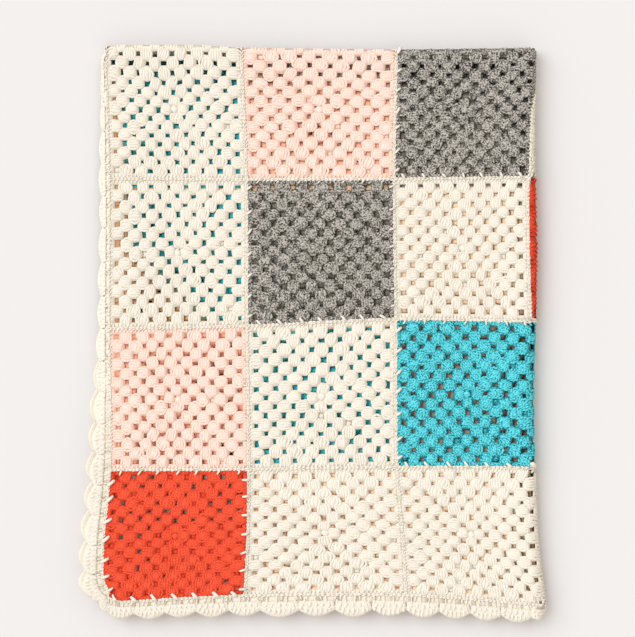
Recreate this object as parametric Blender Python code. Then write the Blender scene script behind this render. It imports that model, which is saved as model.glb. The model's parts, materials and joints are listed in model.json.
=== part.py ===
"""A crochet throw of granny squares with a scalloped border, folded in quarters.

The throw is six squares wide and eight long. It is folded once across, at the top
of the pile, and once lengthways, at the right, so four layers lie on each other.
Every piece is drawn on the open throw first, in squares across and squares along,
and the two folds then carry it to its place in the pile.
"""

import math

import bpy
from mathutils import Vector

# Driving dimensions, in metres
SQUARE = 0.195
CLOTH = 0.0038
LAYER_STEP = 0.0062
BORDER_TIP = 0.027
BORDER_VALLEY = 0.0195
SEAM_GAP = 0.0006
BORDER_GAP = 0.0010
HOLE = 0.0066

# The open throw, counted in squares: columns run 0 to 6, rows run -4 to 4
COLUMNS = 6
FIRST_ROW = -4
LAST_ROW = 4
SCALLOPS_PER_SQUARE = 4.5
STOPS_PER_SCALLOP = 4

# The crosswise fold, in squares, and how far the two folds swell over the flat pile
FOLD_ROW = 0.08
FOLD_SWELL = 0.22
SWELL_REACH = 0.032

# The low waves of the pile: their height as a share of it, and their turns a square
PILE_WAVE = 0.05
WAVE_ACROSS = 2.1
WAVE_ALONG = 1.7

# Where the lengthways fold starts, in columns, for rows 0 to 4 of the top layer
FOLD_COLUMNS = {0.0: 2.975, 0.5: 2.975, 1.5: 2.995, 2.5: 2.945, 4.0: 2.945}

# How the top layer lies: for each line of seams, its row, the x of the border's edge,
# and the x and y of the seams at columns 0, 1, 2 and 3, in metres from the middle
SEAM_COLUMNS = (0.0, 1.0, 2.0, 3.0)
TOP_LAYER = (
    {"row": 0.08, "edge": -0.289, "x": (-0.286, -0.097, 0.113, 0.297), "y": (0.381, 0.381, 0.379, 0.381)},
    {"row": 1.0, "edge": -0.291, "x": (-0.280, -0.090, 0.110, 0.295), "y": (0.208, 0.207, 0.208, 0.210)},
    {"row": 2.0, "edge": -0.294, "x": (-0.278, -0.089, 0.112, 0.298), "y": (0.005, 0.009, 0.018, 0.015)},
    {"row": 3.0, "edge": -0.302, "x": (-0.275, -0.087, 0.114, 0.303), "y": (-0.186, -0.185, -0.182, -0.183)},
    {"row": 3.65, "edge": -0.311, "x": (-0.284, -0.089, 0.123, 0.308), "y": (-0.303, -0.297, -0.297, -0.305)},
    {"row": 4.0, "edge": -0.315, "x": (-0.280, -0.092, 0.126, 0.316), "y": (-0.361, -0.354, -0.355, -0.369)},
)
FRONT_EDGE = {"edge": -0.307, "x": (-0.283, -0.093, 0.127, 0.318), "y": (-0.388, -0.383, -0.386, -0.393)}

# The middle of the pile's outline, which comes to stand over the origin
PILE_MIDDLE = (-0.0016, -0.0027)

# How far the lowest layer stands out at its left edge, and how much sooner its front
# edge ends; the half of the throw that is folded under lies a little bunched
LOW_LEFT = 0.003
LOW_FRONT = 0.005
BUNCHED = 0.966

YARNS = {
    "C": ("cream", (0.86, 0.81, 0.70)),
    "P": ("pink", (0.87, 0.62, 0.54)),
    "G": ("grey", (0.25, 0.24, 0.22)),
    "T": ("teal", (0.07, 0.53, 0.60)),
    "R": ("red", (0.75, 0.13, 0.06)),
}

# The colours of the squares, one string a row, from row -4 to row 3
PATTERN = ("GPCCTC", "PTCRCG", "TGCCPC", "TCGCCR", "CPGCTC", "CGCRCP", "PCTCGC", "RCCCPG")

# Where the cloth of a square is divided: finely where it is seen, and round the folds
FINE_CUTS = (0.0, 0.208, 0.333, 0.448, 0.552, 0.667, 0.792, 1.0)
COARSE_CUTS = (0.0, 0.333, 0.667, 1.0)
CROSS_FOLD_CUTS = (0.03, 0.0425, 0.055, 0.0675, 0.08, 0.115)
LONG_FOLD_CUTS = tuple(2.93 + 0.0175 * k for k in range(11))

# Which gaps between the clusters are cut through: each second one, in squares from
# the middle of a square, given for one quarter turn
GAPS = ((0.0, 0.090), (0.118, 0.222), (-0.118, 0.222), (0.0, 0.354), (0.236, 0.354), (-0.236, 0.354))


def eased(knots, values, at):
    """A smooth curve through the values at the knots, straight past both ends."""
    last = len(knots) - 1
    steps = [knots[k + 1] - knots[k] for k in range(last)]
    rises = [(values[k + 1] - values[k]) / steps[k] for k in range(last)]
    slopes = [rises[0]]
    for k in range(1, last):
        slopes.append((rises[k - 1] * steps[k] + rises[k] * steps[k - 1]) / (steps[k - 1] + steps[k]))
    slopes.append(rises[-1])
    if at <= knots[0]:
        return values[0] + slopes[0] * (at - knots[0])
    if at >= knots[last]:
        return values[last] + slopes[last] * (at - knots[last])
    k = max(j for j in range(last) if knots[j] <= at)
    t = (at - knots[k]) / steps[k]
    start = values[k] * (1 + 2 * t) * (1 - t) ** 2 + slopes[k] * steps[k] * t * (1 - t) ** 2
    end = values[k + 1] * (3 - 2 * t) * t * t - slopes[k + 1] * steps[k] * t * t * (1 - t)
    return start + end


def eased_table(table, at):
    """The value of a {place: value} table at a place between its own."""
    return eased(tuple(table), tuple(table.values()), at)


def across(line, axis, column):
    """A coordinate of one line of seams at a column, out over the left border too."""
    if column >= 0:
        return eased(SEAM_COLUMNS, line[axis], column)
    if axis == "y":
        return line["y"][0]
    reach = -column * SQUARE / BORDER_TIP
    return line["x"][0] + (line["edge"] - line["x"][0]) * reach


def top_place(column, row):
    """Where a point of the top layer lies, seen from above."""
    rows = tuple(line["row"] for line in TOP_LAYER)
    x = eased(rows, tuple(across(line, "x", column) for line in TOP_LAYER), min(row, LAST_ROW))
    y = eased(rows, tuple(across(line, "y", column) for line in TOP_LAYER), min(row, LAST_ROW))
    if row > LAST_ROW:
        reach = (row - LAST_ROW) * SQUARE / BORDER_TIP
        x += (across(FRONT_EDGE, "x", column) - across(TOP_LAYER[-1], "x", column)) * reach
        y += (across(FRONT_EDGE, "y", column) - across(TOP_LAYER[-1], "y", column)) * reach
    return x, y


def low_place(column, row):
    """Where the same point lies if it belongs to the lowest layer."""
    x, y = top_place(column, row)
    x -= LOW_LEFT * (1 - column / 3)
    y += LOW_FRONT * (row - FOLD_ROW) / (LAST_ROW - FOLD_ROW)
    return x, y


def cross_fold(row):
    """Fold the throw across: the row it comes to, and its height over the middle."""
    half = LAYER_STEP / 2
    run = (row - FOLD_ROW) * SQUARE + math.pi * half / 2
    if abs(run) < math.pi * half / 2:
        return FOLD_ROW - half * math.cos(run / half) / SQUARE, half * math.sin(run / half)
    reach = (abs(run) - math.pi * half / 2) / SQUARE
    return FOLD_ROW + reach, math.copysign(half, run)


def long_fold(column, fold_column, height):
    """Fold the doubled throw lengthways: its column and its height over the middle."""
    run = (column - fold_column) * SQUARE
    radius = LAYER_STEP + height
    if run <= 0:
        return column, radius
    if run < math.pi * LAYER_STEP:
        angle = run / LAYER_STEP
        return fold_column + radius * math.sin(angle) / SQUARE, radius * math.cos(angle)
    return fold_column - (run - math.pi * LAYER_STEP) / SQUARE, -radius


def swelling(column, fold_column, row):
    """How much thicker than flat the pile is at a place, as a share."""
    from_right = (column - fold_column) * SQUARE / SWELL_REACH
    from_top = (row - FOLD_ROW) * SQUARE / SWELL_REACH
    folds = FOLD_SWELL * max(math.exp(-from_right ** 2), math.exp(-from_top ** 2))
    wave = PILE_WAVE * math.sin(WAVE_ACROSS * column + 0.7) * math.cos(WAVE_ALONG * row - 0.4)
    return folds + wave


def folded(column, row):
    """The middle of the cloth at a point of the open throw, once it is folded."""
    near_row, height = cross_fold(row if row > 0 else row * BUNCHED)
    fold_column = eased_table(FOLD_COLUMNS, min(max(near_row, 0.0), 4.0))
    if row < 0:
        column += fold_column - FOLD_COLUMNS[0.0]
    near_column, height = long_fold(column, fold_column, height)
    level = height + 1.5 * LAYER_STEP
    share = level / (3 * LAYER_STEP)
    top = top_place(near_column, near_row)
    low = low_place(near_column, near_row)
    x = low[0] + (top[0] - low[0]) * share - PILE_MIDDLE[0]
    y = low[1] + (top[1] - low[1]) * share - PILE_MIDDLE[1]
    z = CLOTH / 2 + level * (1 + swelling(near_column, fold_column, near_row))
    return Vector((x, y, z))


def faces_of_cloth(column, row):
    """The two faces of the cloth at a point: its front and its back."""
    small = 0.0005
    along = folded(column, row + small) - folded(column, row - small)
    sideways = folded(column + small, row) - folded(column - small, row)
    normal = along.cross(sideways).normalized()
    middle = folded(column, row)
    return middle + normal * CLOTH / 2, middle - normal * CLOTH / 2


class ClothMesh:
    """Points in pairs, front and back, and the walls between them."""

    def __init__(self):
        self.points = []
        self.polygons = []

    def pair(self, column, row):
        self.points.extend(faces_of_cloth(column, row))
        return len(self.points) - 2

    def panel(self, corners):
        """Both faces of a patch whose corners run anticlockwise seen from the front."""
        self.polygons.append(tuple(corners))
        self.polygons.append(tuple(corner + 1 for corner in reversed(corners)))

    def wall(self, start, end):
        """The edge of the cloth from one pair to the next, cloth on its left."""
        self.polygons.append((start, start + 1, end + 1, end))

    def finish(self, name, yarn):
        mesh = bpy.data.meshes.new(name)
        mesh.from_pydata(self.points, [], self.polygons)
        mesh.materials.append(yarn)
        mesh.update()
        piece = bpy.data.objects.new(name, mesh)
        bpy.context.collection.objects.link(piece)
        return piece


def square_cuts(first, fine, extra):
    """The places, along one side of a square, where its cloth is divided."""
    inset = SEAM_GAP / 2 / SQUARE
    places = [first + share for share in (FINE_CUTS if fine else COARSE_CUTS)]
    places += [place for place in extra if first < place < first + 1 - 0.001]
    places = sorted(set(round(place, 5) for place in places))
    places[0] += inset
    places[-1] -= inset
    return places


def square_gaps(column, row):
    """The middles of the gaps that are cut through one square."""
    middle = (column + 0.5, row + 0.5)
    gaps = []
    for side, out in GAPS:
        for turned in ((side, out), (-out, side), (-side, -out), (out, -side)):
            gaps.append((middle[0] + turned[0], middle[1] + turned[1]))
    return gaps


def make_square(column, row, yarn):
    """One granny square: a sheet in cells, some of them with a gap through them."""
    seen = column < 3 and row >= 0
    columns = square_cuts(column, seen, LONG_FOLD_CUTS)
    rows = square_cuts(row, seen, CROSS_FOLD_CUTS)
    gaps = square_gaps(column, row) if seen else []
    cloth = ClothMesh()
    grid = [[cloth.pair(c, r) for r in rows] for c in columns]
    for i in range(len(columns) - 1):
        for j in range(len(rows) - 1):
            corners = [grid[i][j], grid[i][j + 1], grid[i + 1][j + 1], grid[i + 1][j]]
            inside = [g for g in gaps if columns[i] < g[0] < columns[i + 1] and rows[j] < g[1] < rows[j + 1]]
            if inside:
                cut_gap(cloth, corners, inside[0])
            else:
                cloth.panel(corners)
    last_column = len(columns) - 1
    last_row = len(rows) - 1
    rim = [(0, j) for j in range(last_row)]
    rim += [(i, last_row) for i in range(last_column)]
    rim += [(last_column, j) for j in range(last_row, 0, -1)]
    rim += [(i, 0) for i in range(last_column, 0, -1)]
    for k, (i, j) in enumerate(rim):
        next_i, next_j = rim[(k + 1) % len(rim)]
        cloth.wall(grid[i][j], grid[next_i][next_j])
    return cloth.finish(f"square_r{row - FIRST_ROW + 1}c{column + 1}", yarn)


def cut_gap(cloth, corners, middle):
    """A cell with a square gap through it, as four panels and four walls."""
    half = HOLE / 2 / SQUARE
    turns = ((-1, -1), (-1, 1), (1, 1), (1, -1))
    inner = [cloth.pair(middle[0] + a * half, middle[1] + b * half) for a, b in turns]
    for k in range(4):
        after = (k + 1) % 4
        cloth.panel([corners[k], corners[after], inner[after], inner[k]])
        cloth.wall(inner[after], inner[k])


def border_width(run):
    """The border's width, in squares, at a distance in squares along a side."""
    bow = math.sin(math.pi * run * SCALLOPS_PER_SQUARE % math.pi)
    return (BORDER_VALLEY + (BORDER_TIP - BORDER_VALLEY) * bow ** 0.8) / SQUARE


def border_stops(start, end, cuts):
    """The places along one side where the border's band is divided."""
    count = round((end - start) * SCALLOPS_PER_SQUARE * STOPS_PER_SCALLOP)
    stops = [start + (end - start) * k / count for k in range(count + 1)]
    clearance = 0.15 / (SCALLOPS_PER_SQUARE * STOPS_PER_SCALLOP)
    kept = [stop for stop in stops if all(abs(stop - cut) > clearance for cut in cuts)]
    return sorted(kept + list(cuts))


def border_line():
    """Inner and outer points round the throw, corners turned with a shell each."""
    inset = -BORDER_GAP / SQUARE
    right = COLUMNS - inset
    near = FIRST_ROW + inset
    far = LAST_ROW - inset
    columns = border_stops(0, COLUMNS, LONG_FOLD_CUTS)
    rows = border_stops(FIRST_ROW, LAST_ROW, CROSS_FOLD_CUTS[:-1])
    line = []
    for row in rows:
        line.append(((inset, row), (-border_width(row - FIRST_ROW), row)))
    line += corner_shell((inset, far), (0, LAST_ROW), 180)
    for column in columns:
        line.append(((column, far), (column, LAST_ROW + border_width(column))))
    line += corner_shell((right, far), (COLUMNS, LAST_ROW), 90)
    for row in reversed(rows):
        line.append(((right, row), (COLUMNS + border_width(row - FIRST_ROW), row)))
    line += corner_shell((right, near), (COLUMNS, FIRST_ROW), 0)
    for column in reversed(columns):
        line.append(((column, near), (column, FIRST_ROW - border_width(column))))
    line += corner_shell((inset, near), (0, FIRST_ROW), 270)
    return line


def corner_shell(inner, middle, start):
    """The shell round a corner, turning back a quarter from its start angle."""
    shell = []
    for share in (0.25, 0.5, 0.75):
        angle = math.radians(start - 90 * share)
        reach = border_width(share / SCALLOPS_PER_SQUARE)
        outer = (middle[0] + reach * math.cos(angle), middle[1] + reach * math.sin(angle))
        shell.append((inner, outer))
    return shell


def make_border(yarn):
    """The border worked round the joined squares: one band with a shelled edge."""
    cloth = ClothMesh()
    inner = []
    outer = []
    known = {}
    for inside, outside in border_line():
        if inside not in known:
            known[inside] = cloth.pair(*inside)
        inner.append(known[inside])
        outer.append(cloth.pair(*outside))
    count = len(inner)
    for k in range(count):
        after = (k + 1) % count
        cloth.wall(outer[k], outer[after])
        if inner[k] == inner[after]:
            cloth.panel([outer[k], outer[after], inner[k]])
        else:
            cloth.panel([outer[k], outer[after], inner[after], inner[k]])
            cloth.wall(inner[after], inner[k])
    return cloth.finish("scalloped_border", yarn)


def make_yarn(name, colour):
    """A matt woollen yarn in one colour."""
    yarn = bpy.data.materials.new(name)
    yarn.use_nodes = True
    shader = yarn.node_tree.nodes["Principled BSDF"]
    shader.inputs["Base Color"].default_value = (*colour, 1.0)
    shader.inputs["Roughness"].default_value = 0.95
    shader.inputs["Metallic"].default_value = 0.0
    return yarn


def clear_scene():
    for piece in list(bpy.data.objects):
        bpy.data.objects.remove(piece, do_unlink=True)


def main():
    clear_scene()
    yarns = {letter: make_yarn(name, colour) for letter, (name, colour) in YARNS.items()}
    for row in range(FIRST_ROW, LAST_ROW):
        for column in range(COLUMNS):
            letter = PATTERN[row - FIRST_ROW][column]
            make_square(column, row, yarns[letter])
    make_border(yarns["C"])


main()
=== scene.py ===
import json
import math

import bpy
import numpy as np
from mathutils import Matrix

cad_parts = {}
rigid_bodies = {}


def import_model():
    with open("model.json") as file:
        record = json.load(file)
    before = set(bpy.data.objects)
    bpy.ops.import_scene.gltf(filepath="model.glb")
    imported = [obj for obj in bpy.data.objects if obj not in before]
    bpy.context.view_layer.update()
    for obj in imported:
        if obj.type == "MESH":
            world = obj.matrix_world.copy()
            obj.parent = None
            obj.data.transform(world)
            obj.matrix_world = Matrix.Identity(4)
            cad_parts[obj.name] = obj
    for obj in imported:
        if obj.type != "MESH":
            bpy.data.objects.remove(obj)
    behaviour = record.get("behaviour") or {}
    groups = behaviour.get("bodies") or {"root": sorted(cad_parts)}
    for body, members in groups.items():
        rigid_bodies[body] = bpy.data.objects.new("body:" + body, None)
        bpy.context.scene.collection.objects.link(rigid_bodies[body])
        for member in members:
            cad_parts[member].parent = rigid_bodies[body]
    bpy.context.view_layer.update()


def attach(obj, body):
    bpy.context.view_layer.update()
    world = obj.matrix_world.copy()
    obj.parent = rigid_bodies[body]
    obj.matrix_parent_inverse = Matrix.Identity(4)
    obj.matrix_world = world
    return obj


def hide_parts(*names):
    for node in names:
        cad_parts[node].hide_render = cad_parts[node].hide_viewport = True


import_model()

for spare in [thing for thing in bpy.data.objects if thing.name in ("Cube", "Light", "Camera")]:
    bpy.data.objects.remove(spare)

# A crochet throw of granny squares, folded in quarters. Every stitch is laid on the
# open throw first (x across it, y along it, z out of its front), and the two folds
# then carry it to its place in the pile.

# how the open throw lies when it is folded; places are in squares, sizes in metres
pile = {
    "square": 0.195,
    "cloth": 0.0038,
    "layerStep": 0.0062,
    "columns": 6,
    "firstRow": -4,
    "lastRow": 4,
    "foldRow": 0.08,
    "bunched": 0.966,
    "swell": 0.22,
    "swellReach": 0.032,
    "wave": 0.05,
    "waveAcross": 2.1,
    "waveAlong": 1.7,
    "middle": (-0.0016, -0.0027),
    "lowLeft": 0.003,
    "lowFront": 0.005,
    "border": 0.027,
    "valley": 0.0180,
    "scallopsPerSquare": 4.5,
}
foldColumns = {0.0: 2.975, 0.5: 2.975, 1.5: 2.995, 2.5: 2.945, 4.0: 2.945}

# where the seams of the top layer lie: row, border edge x, then x and y at columns 0 to 3
seamColumns = (0.0, 1.0, 2.0, 3.0)
topLayer = (
    {"row": 0.08, "edge": -0.289, "x": (-0.281, -0.097, 0.113, 0.297), "y": (0.381, 0.381, 0.379, 0.381)},
    {"row": 1.0, "edge": -0.291, "x": (-0.276, -0.090, 0.110, 0.295), "y": (0.208, 0.207, 0.208, 0.210)},
    {"row": 2.0, "edge": -0.294, "x": (-0.276, -0.089, 0.112, 0.298), "y": (0.005, 0.009, 0.018, 0.015)},
    {"row": 3.0, "edge": -0.302, "x": (-0.275, -0.087, 0.114, 0.303), "y": (-0.186, -0.185, -0.182, -0.183)},
    {"row": 3.65, "edge": -0.312, "x": (-0.285, -0.089, 0.123, 0.308), "y": (-0.305, -0.298, -0.297, -0.305)},
    {"row": 4.0, "edge": -0.315, "x": (-0.283, -0.092, 0.126, 0.316), "y": (-0.366, -0.356, -0.355, -0.369)},
)
frontEdge = {"edge": -0.307, "x": (-0.283, -0.093, 0.127, 0.318), "y": (-0.388, -0.383, -0.386, -0.393)}

# the colours of the squares, one string a row, from row -4 to row 3
pattern = ("GPCCTC", "PTCRCG", "TGCCPC", "TCGCCR", "CPGCTC", "CGCRCP", "PCTCGC", "RCCCPG")


def eased(knots, values, at):
    # a smooth curve through values at the knots, straight past both ends
    knots = np.asarray(knots, float)
    at = np.asarray(at, float)
    table = np.stack([np.broadcast_to(np.asarray(v, float), at.shape) for v in values])
    steps = np.diff(knots)
    rises = np.diff(table, axis=0) / steps[:, None]
    slopes = np.empty_like(table)
    slopes[0] = rises[0]
    slopes[-1] = rises[-1]
    for k in range(1, len(knots) - 1):
        slopes[k] = (rises[k - 1] * steps[k] + rises[k] * steps[k - 1]) / (steps[k - 1] + steps[k])
    k = np.clip(np.searchsorted(knots, at, side="right") - 1, 0, len(knots) - 2)
    here = np.arange(at.size)
    t = (at - knots[k]) / steps[k]
    inside = np.clip(t, 0, 1)
    start = table[k, here] * (1 + 2 * inside) * (1 - inside) ** 2
    start += slopes[k, here] * steps[k] * inside * (1 - inside) ** 2
    end = table[k + 1, here] * (3 - 2 * inside) * inside ** 2
    end -= slopes[k + 1, here] * steps[k] * inside ** 2 * (1 - inside)
    past = np.where(t < 0, slopes[0] * (at - knots[0]), 0) + np.where(t > 1, slopes[-1] * (at - knots[-1]), 0)
    return start + end + past


def easedTable(table, at):
    return eased(list(table), list(table.values()), at)


def across(line, axis, column):
    inner = eased(seamColumns, line[axis], np.maximum(column, 0))
    if axis == "y":
        return inner
    reach = np.maximum(-column, 0) * pile["square"] / pile["border"]
    return inner + (line["edge"] - line["x"][0]) * reach


def topPlace(column, row):
    rows = [line["row"] for line in topLayer]
    last = np.minimum(row, pile["lastRow"])
    reach = np.maximum(row - pile["lastRow"], 0) * pile["square"] / pile["border"]
    place = []
    for axis in ("x", "y"):
        lines = [across(line, axis, column) for line in topLayer]
        place.append(eased(rows, lines, last) + (across(frontEdge, axis, column) - lines[-1]) * reach)
    return place


def foldedMiddle(column, row):
    # the middle of the cloth at points of the open throw, once it is folded
    square = pile["square"]
    step = pile["layerStep"]
    half = step / 2
    bunched = np.where(row > 0, row, row * pile["bunched"])
    run = (bunched - pile["foldRow"]) * square + math.pi * half / 2
    turning = np.abs(run) < math.pi * half / 2
    angle = np.clip(run / half, -math.pi / 2, math.pi / 2)
    reach = (np.abs(run) - math.pi * half / 2) / square
    nearRow = pile["foldRow"] + np.where(turning, -half * np.cos(angle) / square, reach)
    height = half * np.sin(angle)

    foldColumn = easedTable(foldColumns, np.clip(nearRow, 0, 4))
    column = np.where(row < 0, column + foldColumn - foldColumns[0.0], column)
    run = (column - foldColumn) * square
    angle = np.clip(run / step, 0, math.pi)
    radius = step + height
    nearColumn = np.where(run < math.pi * step, foldColumn + radius * np.sin(angle) / square,
                          foldColumn - (run - math.pi * step) / square)
    nearColumn = np.where(run < 0, column, nearColumn)
    level = radius * np.cos(angle) + 1.5 * step

    share = level / (3 * step)
    x, y = topPlace(nearColumn, nearRow)
    x = x - (1 - share) * pile["lowLeft"] * (1 - nearColumn / 3)
    y = y + (1 - share) * pile["lowFront"] * (nearRow - pile["foldRow"]) / (pile["lastRow"] - pile["foldRow"])
    fromRight = (nearColumn - foldColumn) * square / pile["swellReach"]
    fromTop = (nearRow - pile["foldRow"]) * square / pile["swellReach"]
    swelling = pile["swell"] * np.maximum(np.exp(-fromRight ** 2), np.exp(-fromTop ** 2))
    waves = np.sin(pile["waveAcross"] * nearColumn + 0.7)
    swelling += pile["wave"] * waves * np.cos(pile["waveAlong"] * nearRow - 0.4)
    z = pile["cloth"] / 2 + level * (1 + swelling)
    return np.stack([x - pile["middle"][0], y - pile["middle"][1], z], axis=1)


# how the cloth lies apart from its plain folds; columns and rows in squares, sizes in metres
drape = {
    "hiddenPast": 3.1,
    "behindRow": -0.06,
    "hiddenRelief": 0.8,
    "floorRow": 0.1,
    "floorRelief": 0.5,
    "secondFrom": 0.05,
    "secondFade": 0.2,
    "nestled": 0.0044,
    "nestledTo": 2.98,
    "nestledFade": 0.15,
    "topRise": 0.0002,
    "topRiseLeft": 0.0040,
    "topRiseTo": 1.05,
    "topRiseFade": 0.4,
    "topFade": 0.19,
    "slideReach": 0.35,
    "drawnIn": 0.019,
    "drawnColumns": 0.5,
    "hang": 0.62,
    "hangFlat": 0.75,
    "probe": 0.002,
    "floorGap": 0.0003,
}
# corners of the pile that are round: x and y of the square corner, and the radius
roundCorners = ((-0.3135, -0.387, 0.060), (-0.2915, 0.3925, 0.024), (0.3215, -0.392, 0.030))

# how far the cloth has slipped round the right fold, in squares, by row
slide = {
    0.0: 0.046,
    0.25: 0.046,
    0.5: -0.004,
    0.96: -0.006,
    1.04: -0.026,
    1.97: -0.026,
    2.03: 0.046,
    2.9: 0.046,
    3.1: 0.0,
    4.0: 0.0,
}


def secondShare(row):
    # 0 on the top layer, rising to 1 on the one that is folded under it
    return np.clip((-row - drape["secondFrom"]) / drape["secondFade"], 0, 1)


def roundOff(placed):
    for cornerX, cornerY, radius in roundCorners:
        wayX = math.copysign(1, cornerX)
        wayY = math.copysign(1, cornerY)
        dx = wayX * (placed[:, 0] - cornerX) + radius
        dy = wayY * (placed[:, 1] - cornerY) + radius
        inside = (dx > 0) & (dy > 0)
        share = np.where(inside, np.maximum(dx, dy) / np.maximum(np.hypot(dx, dy), 1e-6), 1.0)
        placed[:, 0] -= np.where(inside, wayX * dx * (1 - share), 0)
        placed[:, 1] -= np.where(inside, wayY * dy * (1 - share), 0)
    return placed


def clothNormal(column, row):
    small = drape["probe"]
    along = foldedMiddle(column, row + small) - foldedMiddle(column, row - small)
    sideways = foldedMiddle(column + small, row) - foldedMiddle(column - small, row)
    normal = np.cross(along, sideways)
    return normal / np.linalg.norm(normal, axis=1)[:, None]


def foldPoints(points):
    # points of the open throw, in metres, to their places in the pile
    d = drape
    column = points[:, 0] / pile["square"]
    row = -points[:, 1] / pile["square"]
    second = secondShare(row)
    slipped = np.exp(-((column - pile["columns"] / 2) / d["slideReach"]) ** 2)
    nearRow = np.where(row < 0, -row * pile["bunched"], row)
    column = column + slipped * np.interp(nearRow, list(slide), list(slide.values()))
    # hidden layers are pressed flatter, and the lowest one most
    hidden = (column > d["hiddenPast"]) | (row < d["behindRow"])
    lowest = (column > d["hiddenPast"]) & (row > d["floorRow"])
    relief = points[:, 2] * np.where(lowest, d["floorRelief"], np.where(hidden, d["hiddenRelief"], 1.0))
    # the second layer nestles up against the first, away from the folds
    relief = relief - d["nestled"] * (second * np.clip((d["nestledTo"] - column) / d["nestledFade"], 0, 1))
    placed = foldedMiddle(column, row)
    # the cloth stands up over the top fold, and the second layer is drawn in at the left
    rise = d["topRise"] + d["topRiseLeft"] * np.clip((d["topRiseTo"] - column) / d["topRiseFade"], 0, 1)
    placed[:, 1] += rise * np.exp(-((nearRow - pile["foldRow"]) / d["topFade"]) ** 2)
    placed[:, 0] += d["drawnIn"] * (np.exp(-np.maximum(column, 0) / d["drawnColumns"]) * second)
    # where the left border has no room to lie flat it hangs over the side of the pile
    outward = np.maximum(-column, 0) * pile["square"]
    rows = [line["row"] for line in topLayer]
    spare = [line["x"][0] - line["edge"] for line in topLayer]
    flat = np.clip(eased(rows, spare, np.clip(np.abs(row), pile["foldRow"], 4)) / pile["border"], 0, 1)
    placed[:, 0] -= second * np.maximum(d["hangFlat"] - flat, 0) * outward
    placed[:, 2] -= d["hang"] * (1 - second) * outward * np.sqrt(1 - flat ** 2)
    placed = placed + clothNormal(column, row) * relief[:, None]
    placed[:, 2] = np.maximum(placed[:, 2], d["floorGap"])
    return roundOff(placed)


def emptyShape():
    return {"points": [], "faces": [], "uv": [], "strands": 0}


def addStrand(shape, path, radius, sides=4, tip=0.5):
    # a strand of yarn along a path, its ends drawn in; the uv runs along it in cm and round it
    path = np.asarray(path, float)
    tangent = np.gradient(path, axis=0)
    tangent /= np.linalg.norm(tangent, axis=1)[:, None]
    side = np.cross((0, 0, 1), tangent)
    side /= np.linalg.norm(side, axis=1)[:, None]
    up = np.cross(tangent, side)
    length = np.concatenate([[0], np.cumsum(np.linalg.norm(np.diff(path, axis=0), axis=1))])
    thick = np.full(len(path), radius)
    thick[0] *= tip
    thick[-1] *= tip
    first = len(shape["points"])
    for k in range(len(path)):
        for j in range(sides):
            a = 2 * math.pi * (j + 0.5) / sides
            shape["points"].append(path[k] + thick[k] * (math.cos(a) * side[k] + math.sin(a) * up[k]))
    start = shape["strands"] * 0.37
    shape["strands"] += 1
    for k in range(len(path) - 1):
        for j in range(sides):
            a = first + k * sides + j
            b = first + k * sides + (j + 1) % sides
            shape["faces"].append((a, b, b + sides, a + sides))
            u0 = start + length[k] * 100
            u1 = start + length[k + 1] * 100
            shape["uv"] += [(u0, j / sides), (u0, (j + 1) / sides), (u1, (j + 1) / sides), (u1, j / sides)]
    lastRing = first + (len(path) - 1) * sides
    shape["faces"].append(tuple(reversed(range(first, first + sides))))
    shape["faces"].append(tuple(range(lastRing, lastRing + sides)))
    shape["uv"] += [(start, 0.5)] * (2 * sides)


def padShape(size, square=0.3, rings=((1.0, -0.45), (1.0, 0.45)), around=8):
    # a closed pad of packed yarn; square near 0 fills its corners
    shape = emptyShape()
    wide, deep, high = size
    shape["points"].append((0, 0, -0.55 * high))
    for reach, lift in rings:
        for j in range(around):
            a = 2 * math.pi * (j + 0.5) / around
            x = math.copysign(abs(math.cos(a)) ** square, math.cos(a))
            y = math.copysign(abs(math.sin(a)) ** square, math.sin(a))
            shape["points"].append((wide * reach * x, deep * reach * y, high * lift))
    shape["points"].append((0, 0, high))
    top = len(shape["points"]) - 1
    lastRing = top - around
    for j in range(around):
        after = (j + 1) % around
        shape["faces"].append((0, 1 + after, 1 + j))
        shape["uv"] += [(0, 0), (0.3, 0.2), (0.3, 0)]
        for ring in range(len(rings) - 1):
            low = 1 + ring * around
            upper = low + around
            shape["faces"].append((low + j, low + after, upper + after, upper + j))
            shape["uv"] += [(0.3, 0), (0.3, 0.2), (0.6, 0.2), (0.6, 0)]
        shape["faces"].append((lastRing + j, lastRing + after, top))
        shape["uv"] += [(0.6, 0), (0.6, 0.2), (0.9, 0.1)]
    return shape


def lensShape(size):
    # a pad of fewer faces, for the layers that are barely seen
    return padShape(size, 0.15, rings=((1.0, 0.0),))


# one cluster of stitches, as it lies between four gaps: strands side by side, bowed apart
cluster = {
    "strands": 5,
    "bow": 0.0070,
    "waist": 0.0020,
    "halfLength": 0.0088,
    "rise": 0.0003,
    "foot": 0.0006,
    "strand": 0.0019,
    "plainStrand": 0.0020,
    "sway": 0.0018,
    "pad": (0.0086, 0.0092, 0.0024),
}


def postPath(side, t, sway=0.0):
    c = cluster
    bulge = np.sin(math.pi * t)
    x = side * (c["waist"] + (c["bow"] - c["waist"]) * bulge ** 0.5)
    x = x + sway * bulge * np.cos(3.5 * t + 2 * side)
    y = c["halfLength"] * (2 * t - 1) * (1 - 0.08 * abs(side))
    z = c["foot"] + c["rise"] * bulge * (1 - 0.3 * side * side)
    return x, y, z


def puffShape(sway, steps=6, sides=5):
    shape = emptyShape()
    for side in np.linspace(-1, 1, cluster["strands"]):
        x, y, z = postPath(side, np.linspace(0, 1, steps), sway)
        addStrand(shape, np.stack([x, y, z], axis=1), cluster["strand"], sides)
    return shape


def plainPostShape(side):
    shape = emptyShape()
    x, y, z = postPath(side, np.linspace(0, 1, 4))
    addStrand(shape, np.stack([x, y, z], axis=1), cluster["plainStrand"], sides=3)
    return shape


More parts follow.
